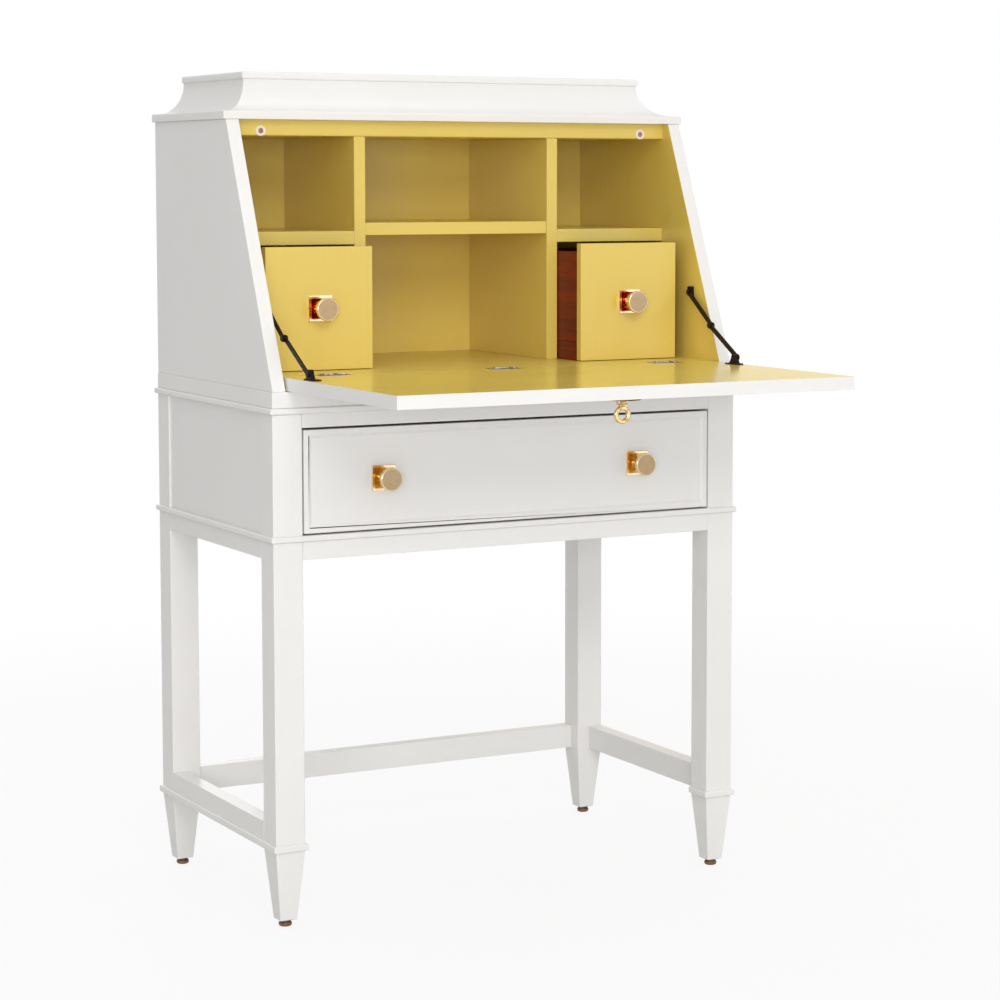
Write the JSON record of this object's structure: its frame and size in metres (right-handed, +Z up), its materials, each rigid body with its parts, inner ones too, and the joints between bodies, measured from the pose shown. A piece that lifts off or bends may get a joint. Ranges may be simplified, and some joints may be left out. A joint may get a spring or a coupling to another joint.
{
  "type": "writing desk with drawers",
  "caption": "Slant-front secretary desk with an open drop front on folding stays, pigeonholes, small inner drawers and a wide drawer over a leg frame.",
  "frame": {"origin": "on the floor, under the middle of the desk's bounding box with its drop front open", "axes": "+X to the desk's right as a sitter sees it, -Y out of the front, +Z up"},
  "size_m": [0.7704, 0.8042, 1.2179],
  "materials": {
    "white_lacquer": "satin white lacquer",
    "yellow_lacquer": "satin mustard yellow lacquer",
    "mahogany": "satin red-brown stained hardwood",
    "brass": "polished brass",
    "dark_bronze": "dark bronze",
    "steel": "nickel-plated steel",
    "nylon": "brown nylon pad",
    "catch": "white plastic ring with a copper-coloured magnet"
  },
  "bodies": {
    "cabinet": {"apron_front": "white_lacquer", "apron_left": "white_lacquer", "apron_right": "white_lacquer", "cabinet_back": "white_lacquer", "cabinet_side_left": "white_lacquer", "cabinet_side_right": "white_lacquer", "cabinet_top": "yellow_lacquer", "case_back": "white_lacquer", "case_front_rail": "white_lacquer", "case_side_left": "white_lacquer", "case_side_right": "white_lacquer", "cornice_base": "white_lacquer", "cornice_crown": "white_lacquer", "desk_floor": "yellow_lacquer", "divider_left": "yellow_lacquer", "divider_right": "yellow_lacquer", "drawer_dust_panel": "white_lacquer", "fall_catches": "catch", "foot_glides": "nylon", "foot_mouldings": "white_lacquer", "hinge_fixed_leaves": "steel", "leg_back_left": "white_lacquer", "leg_back_right": "white_lacquer", "leg_front_left": "white_lacquer", "leg_front_right": "white_lacquer", "plinth": "white_lacquer", "rear_stretcher": "white_lacquer", "shelf_centre": "yellow_lacquer", "shelf_left": "yellow_lacquer", "shelf_right": "yellow_lacquer", "side_stretcher_left": "white_lacquer", "side_stretcher_right": "white_lacquer", "small_drawer_guides": "mahogany", "stay_cabinet_brackets": "dark_bronze", "waist_moulding_lower": "white_lacquer", "waist_moulding_upper": "white_lacquer"},
    "fall": {"fall_panel": "white_lacquer", "hinge_moving_leaves": "steel", "stay_fall_brackets": "dark_bronze", "ring_pull_plate": "brass"},
    "pull_ring": {"ring_pull_ring": "brass"},
    "stay_upper_left": {"stay_upper_arm_left": "dark_bronze"},
    "stay_upper_right": {"stay_upper_arm_right": "dark_bronze"},
    "stay_lower_left": {"stay_lower_arm_left": "dark_bronze"},
    "stay_lower_right": {"stay_lower_arm_right": "dark_bronze"},
    "left_small_drawer": {"left_drawer_front": "yellow_lacquer", "left_drawer_box": "mahogany", "left_drawer_bottom": "mahogany", "left_drawer_knob_plate": "brass", "left_drawer_knob": "brass"},
    "right_small_drawer": {"right_drawer_front": "yellow_lacquer", "right_drawer_box": "mahogany", "right_drawer_bottom": "mahogany", "right_drawer_knob_plate": "brass", "right_drawer_knob": "brass"},
    "main_drawer": {"main_drawer_front": "white_lacquer", "main_drawer_box": "mahogany", "main_drawer_bottom": "mahogany", "main_drawer_knob_plates": "brass", "main_drawer_knobs": "brass"}
  },
  "joints": [
    {"name": "fall_hinge", "type": "hinge", "parent": "cabinet", "child": "fall", "pos_m": [0, -0.0211, 0.7855], "axis": [1, 0, 0], "range_deg": [-112.99, 0]},
    {"name": "ring_pull_swing", "type": "hinge", "parent": "fall", "child": "pull_ring", "pos_m": [0, -0.3637, 0.7598], "axis": [-1, 0, 0], "range_deg": [-90, 90]},
    {"name": "left_small_drawer_slide", "type": "slide", "parent": "cabinet", "child": "left_small_drawer", "axis": [0, -1, 0], "range_m": [-0.065, 0.08]},
    {"name": "right_small_drawer_slide", "type": "slide", "parent": "cabinet", "child": "right_small_drawer", "axis": [0, -1, 0], "range_m": [-0.072, 0.073]},
    {"name": "main_drawer_slide", "type": "slide", "parent": "cabinet", "child": "main_drawer", "axis": [0, -1, 0], "range_m": [0, 0.29]},
    {"name": "stay_upper_left_pivot", "type": "hinge", "parent": "cabinet", "child": "stay_upper_left", "pos_m": [0, 0.0384, 0.8882], "axis": [1, 0, 0], "range_deg": [0, 112.97]},
    {"name": "stay_lower_left_pivot", "type": "hinge", "parent": "fall", "child": "stay_lower_left", "pos_m": [0, -0.1056, 0.7955], "axis": [1, 0, 0], "range_deg": [0, 73.94]},
    {"name": "stay_upper_right_pivot", "type": "hinge", "parent": "cabinet", "child": "stay_upper_right", "pos_m": [0, 0.0384, 0.8882], "axis": [1, 0, 0], "range_deg": [0, 112.97]},
    {"name": "stay_lower_right_pivot", "type": "hinge", "parent": "fall", "child": "stay_lower_right", "pos_m": [0, -0.1056, 0.7955], "axis": [1, 0, 0], "range_deg": [0, 73.94]}
  ],
  "couplings": [
    {"joint": "stay_upper_left_pivot", "follows": "fall_hinge", "ratio": -0.99539},
    {"joint": "stay_lower_left_pivot", "follows": "fall_hinge", "ratio": -0.65},
    {"joint": "stay_upper_right_pivot", "follows": "fall_hinge", "ratio": -0.99539},
    {"joint": "stay_lower_right_pivot", "follows": "fall_hinge", "ratio": -0.65}
  ]
}
